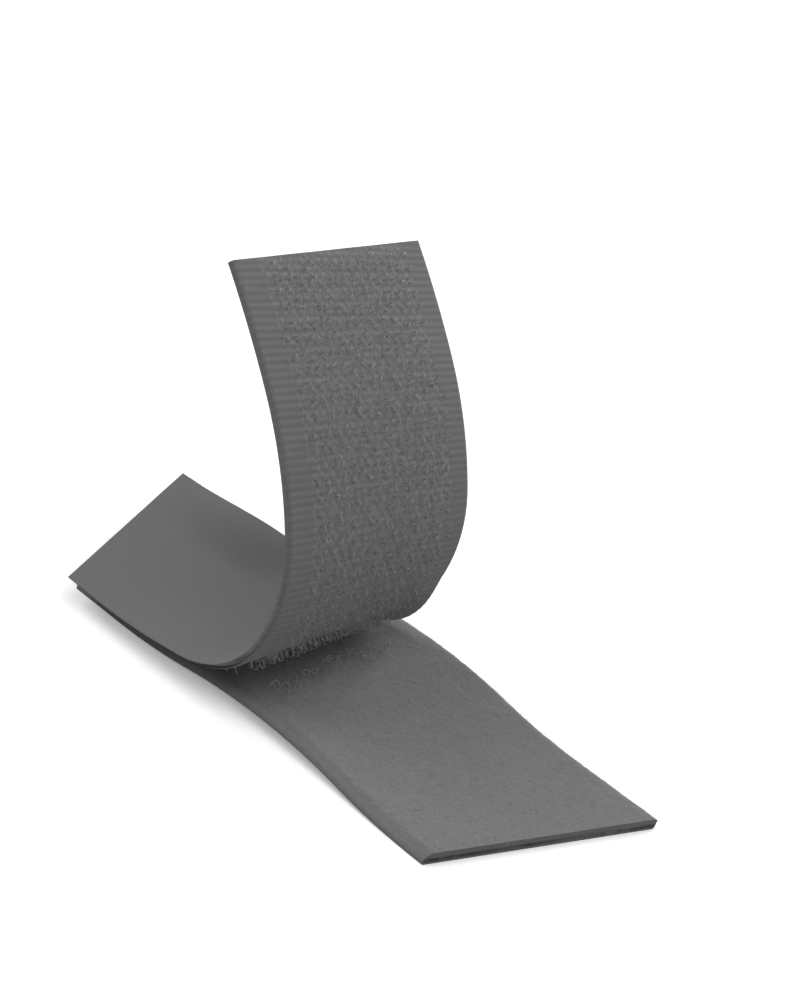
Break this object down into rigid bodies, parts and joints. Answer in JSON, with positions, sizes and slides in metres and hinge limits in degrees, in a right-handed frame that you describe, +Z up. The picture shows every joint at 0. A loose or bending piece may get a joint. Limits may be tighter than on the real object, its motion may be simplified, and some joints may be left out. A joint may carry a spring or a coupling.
{
  "type": "hook and loop tape",
  "caption": "Short length of woven hook tape pressed onto loop tape, its free end peeled up and curling back with the hooks facing out, for fastening fabric.",
  "frame": {"origin": "on the surface the loop tape lies on, under the middle of the part's bounding box", "axes": "+X along the tapes from the mated end towards the loop tape's free end, +Y across them, +Z up"},
  "size_m": [0.0596, 0.0282, 0.0372],
  "materials": {
    "coating": "matt resin back coating, smooth",
    "weave": "tight woven nylon with fine cross ribs on the plain edges",
    "hooks": "bent nylon monofilament with a slight sheen",
    "pile": "soft fuzzy loop pile"
  },
  "bodies": {
    "loop_tape": {"loop_coat": "coating", "loop_ground": "weave", "loop_pile": "pile", "hooks_mated": "hooks", "hook_ground_mated": "weave", "hook_coat_mated": "coating"},
    "loop_end": {"loop_end_coat": "coating", "loop_end_ground": "weave", "loop_end_pile": "pile"},
    "tail_1": {"hook_coat_1": "coating", "hook_ground_1": "weave", "hooks_1": "hooks"},
    "tail_2": {"hook_coat_2": "coating", "hook_ground_2": "weave", "hooks_2": "hooks"},
    "tail_3": {"hook_coat_3": "coating", "hook_ground_3": "weave", "hooks_3": "hooks"},
    "tail_4": {"hook_coat_4": "coating", "hook_ground_4": "weave", "hooks_4": "hooks"}
  },
  "joints": [
    {"name": "peel", "type": "hinge", "parent": "loop_tape", "child": "tail_1", "pos_m": [-0.00491, -0.00155, 0.00341], "axis": [0, -1, 0], "range_deg": [-5, 35], "stiffness_Nm_per_rad": 0.0075},
    {"name": "curl", "type": "hinge", "parent": "tail_1", "child": "tail_2", "pos_m": [0.00232, -0.00155, 0.01], "axis": [0, -1, 0], "range_deg": [-15, 15], "stiffness_Nm_per_rad": 0.003},
    {"name": "curl_mid", "type": "hinge", "parent": "tail_2", "child": "tail_3", "pos_m": [0.00141, -0.00155, 0.0192], "axis": [0, -1, 0], "range_deg": [-15, 15], "stiffness_Nm_per_rad": 0.003},
    {"name": "curl_tip", "type": "hinge", "parent": "tail_3", "child": "tail_4", "pos_m": [-0.00489, -0.00155, 0.029], "axis": [0, -1, 0], "range_deg": [-15, 15], "stiffness_Nm_per_rad": 0.003},
    {"name": "loop_flex", "type": "hinge", "parent": "loop_tape", "child": "loop_end", "pos_m": [0.01001, 0.00155, 0.00183], "axis": [0, -1, 0], "range_deg": [-10, 30], "stiffness_Nm_per_rad": 0.0075}
  ],
  "couplings": [
    {"joint": "curl_mid", "follows": "curl", "ratio": 1},
    {"joint": "curl_tip", "follows": "curl", "ratio": 1}
  ]
}
